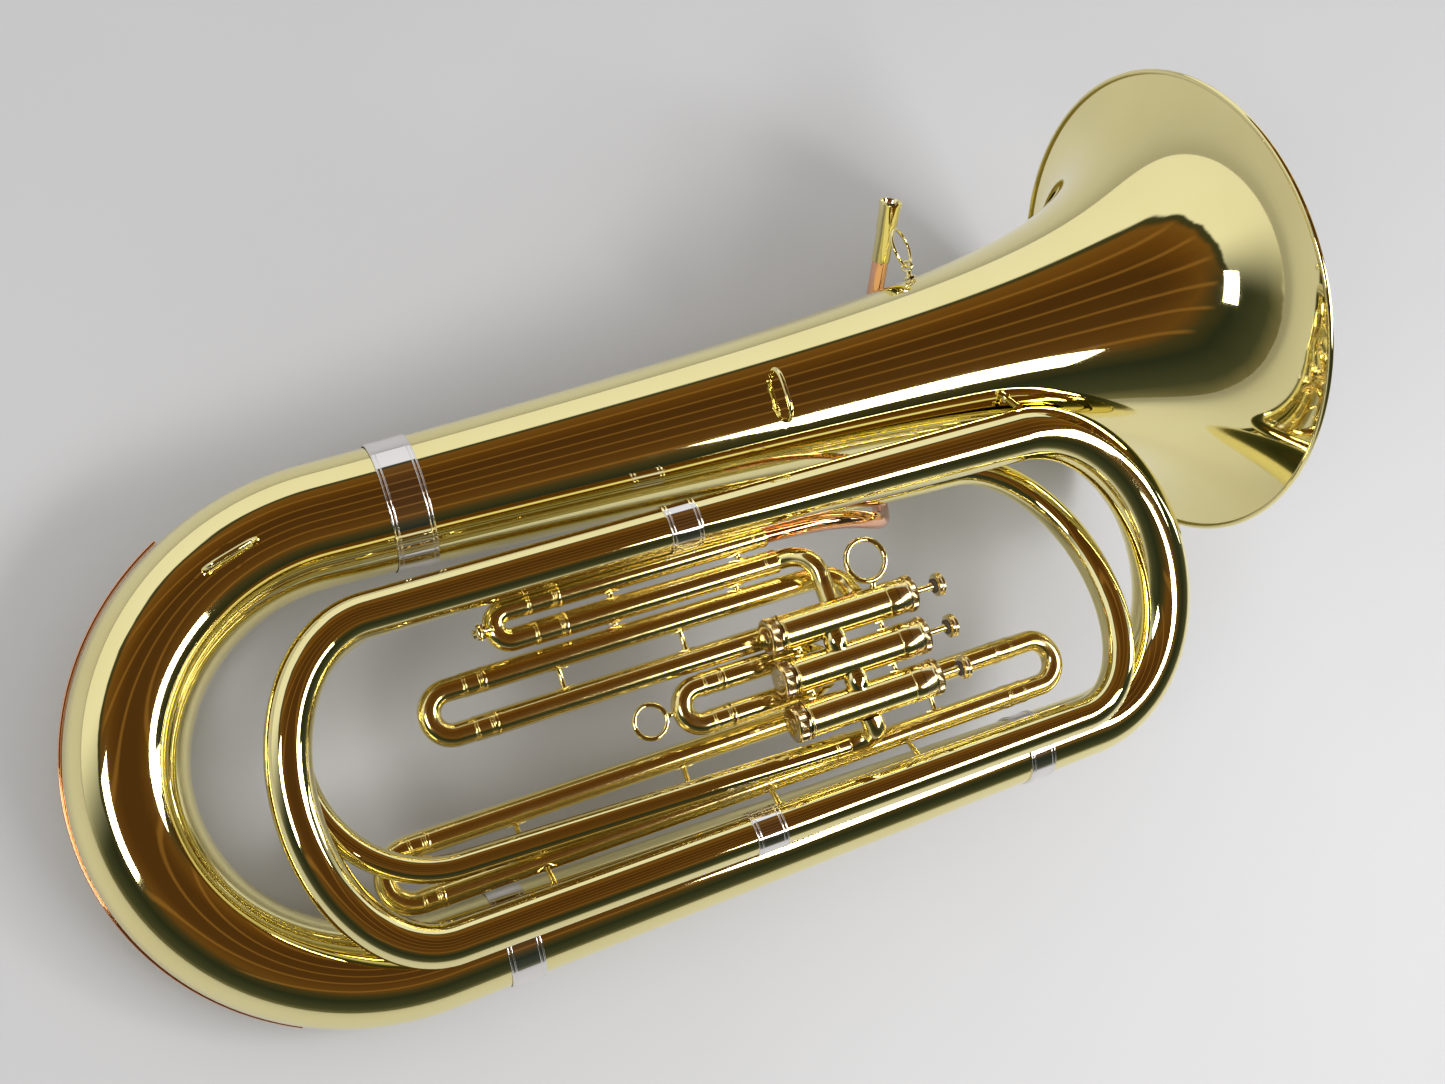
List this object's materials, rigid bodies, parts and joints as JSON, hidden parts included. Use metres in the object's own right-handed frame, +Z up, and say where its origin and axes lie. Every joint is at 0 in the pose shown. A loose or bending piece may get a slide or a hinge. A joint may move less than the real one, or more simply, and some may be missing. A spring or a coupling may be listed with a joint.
{
  "type": "tuba",
  "caption": "Compact upright-pattern tuba in lacquered brass, with top-action piston valves, tuning and valve slides, water key, thumb ring and strap rings.",
  "frame": {"origin": "centre of the bounding box's footprint, on the surface the instrument lies on", "axes": "+Z up; +X along the instrument's length, from the bottom bow towards the mouth of the bell; +Y from the outer branch towards the bell"},
  "size_m": [0.893, 0.5098, 0.3687],
  "materials": {
    "lacquered_brass": "polished and clear lacquered, with light handling marks",
    "nickel_silver": "polished nickel silver with beaded edges",
    "rose_brass": "polished rose brass under lacquer",
    "worn_cap_brass": "knurled brass, lacquer worn dull and coppery",
    "plated_steel": "ground and plated"
  },
  "bodies": {
    "body": {"bell": "lacquered_brass", "bottom_bow": "lacquered_brass", "bow_guard": "rose_brass", "outer_branch": "lacquered_brass", "top_bow": "lacquered_brass", "inner_bottom_bow": "lacquered_brass", "inner_top_bow": "lacquered_brass", "innermost_bow": "lacquered_brass", "ferrule_bell": "nickel_silver", "ferrule_branch_low": "nickel_silver", "ferrule_branch_high": "nickel_silver", "ferrule_inner_leg": "nickel_silver", "ferrule_inner_return": "nickel_silver", "leadpipe": "rose_brass", "mouthpiece_receiver": "lacquered_brass", "main_slide_upper_sleeve": "lacquered_brass", "main_slide_lower_sleeve": "lacquered_brass", "first_slide_upper_sleeve": "lacquered_brass", "first_slide_lower_sleeve": "lacquered_brass", "second_slide_upper_sleeve": "lacquered_brass", "second_slide_lower_sleeve": "lacquered_brass", "third_slide_upper_left_sleeve": "lacquered_brass", "third_slide_upper_right_sleeve": "lacquered_brass", "third_slide_lower_sleeve": "lacquered_brass", "valve_1_casing": "lacquered_brass", "valve_1_bottom_cap": "worn_cap_brass", "valve_1_top_cap": "worn_cap_brass", "valve_1_spring": "plated_steel", "valve_2_casing": "lacquered_brass", "valve_2_bottom_cap": "worn_cap_brass", "valve_2_top_cap": "worn_cap_brass", "valve_2_spring": "plated_steel", "valve_3_casing": "lacquered_brass", "valve_3_bottom_cap": "worn_cap_brass", "valve_3_top_cap": "worn_cap_brass", "valve_3_spring": "plated_steel", "valve_knuckle_1": "lacquered_brass", "valve_knuckle_2": "lacquered_brass", "valve_exit_elbow": "lacquered_brass", "thumb_ring": "lacquered_brass", "bell_brace": "lacquered_brass", "strap_eye": "lacquered_brass", "strap_loop_bell": "lacquered_brass", "strap_loop_bow": "lacquered_brass"},
    "main_slide": {"main_slide_bow": "lacquered_brass", "water_key_saddle": "lacquered_brass"},
    "water_key": {"water_key_lever": "lacquered_brass"},
    "first_slide": {"first_slide_bow": "lacquered_brass"},
    "second_slide": {"second_slide_bow": "lacquered_brass", "second_slide_ring": "lacquered_brass"},
    "third_left_slide": {"third_slide_left_bow": "lacquered_brass"},
    "third_right_slide": {"third_slide_right_bow": "lacquered_brass"},
    "valve_1": {"valve_1_piston": "plated_steel", "valve_1_button": "lacquered_brass"},
    "valve_2": {"valve_2_piston": "plated_steel", "valve_2_button": "lacquered_brass"},
    "valve_3": {"valve_3_piston": "plated_steel", "valve_3_button": "lacquered_brass"},
    "strap_ring": {"strap_ring": "lacquered_brass"}
  },
  "joints": [
    {"name": "main_slide_pull", "type": "slide", "parent": "body", "child": "main_slide", "axis": [-0.9895, 0, -0.1446], "range_m": [0, 0.06]},
    {"name": "first_slide_pull", "type": "slide", "parent": "body", "child": "first_slide", "axis": [-0.9895, 0, -0.1446], "range_m": [0, 0.05]},
    {"name": "second_slide_pull", "type": "slide", "parent": "body", "child": "second_slide", "axis": [-0.9895, 0, -0.1446], "range_m": [0, 0.03]},
    {"name": "third_left_slide_pull", "type": "slide", "parent": "body", "child": "third_left_slide", "axis": [-0.9895, 0, -0.1446], "range_m": [0, 0.02]},
    {"name": "third_right_slide_pull", "type": "slide", "parent": "body", "child": "third_right_slide", "axis": [0.9895, 0, 0.1446], "range_m": [0, 0.015]},
    {"name": "valve_1_press", "type": "slide", "parent": "body", "child": "valve_1", "axis": [-0.9895, 0, -0.1446], "range_m": [0, 0.0145], "stiffness_N_per_m": 150, "springref_m": -0.02},
    {"name": "valve_2_press", "type": "slide", "parent": "body", "child": "valve_2", "axis": [-0.9895, 0, -0.1446], "range_m": [0, 0.0145], "stiffness_N_per_m": 150, "springref_m": -0.02},
    {"name": "valve_3_press", "type": "slide", "parent": "body", "child": "valve_3", "axis": [-0.9895, 0, -0.1446], "range_m": [0, 0.0145], "stiffness_N_per_m": 150, "springref_m": -0.02},
    {"name": "water_key_press", "type": "hinge", "parent": "main_slide", "child": "water_key", "pos_m": [-0.18768, -0.03698, 0.13081], "axis": [-0.021, 0.9894, 0.1438], "range_deg": [0, 20], "stiffness_Nm_per_rad": 0.03, "springref_deg": -28.65},
    {"name": "strap_ring_swing", "type": "hinge", "parent": "body", "child": "strap_ring", "pos_m": [0.20325, 0.14193, 0.17491], "axis": [-0.845, -0.0945, 0.5264], "range_deg": [-70, 70]}
  ]
}
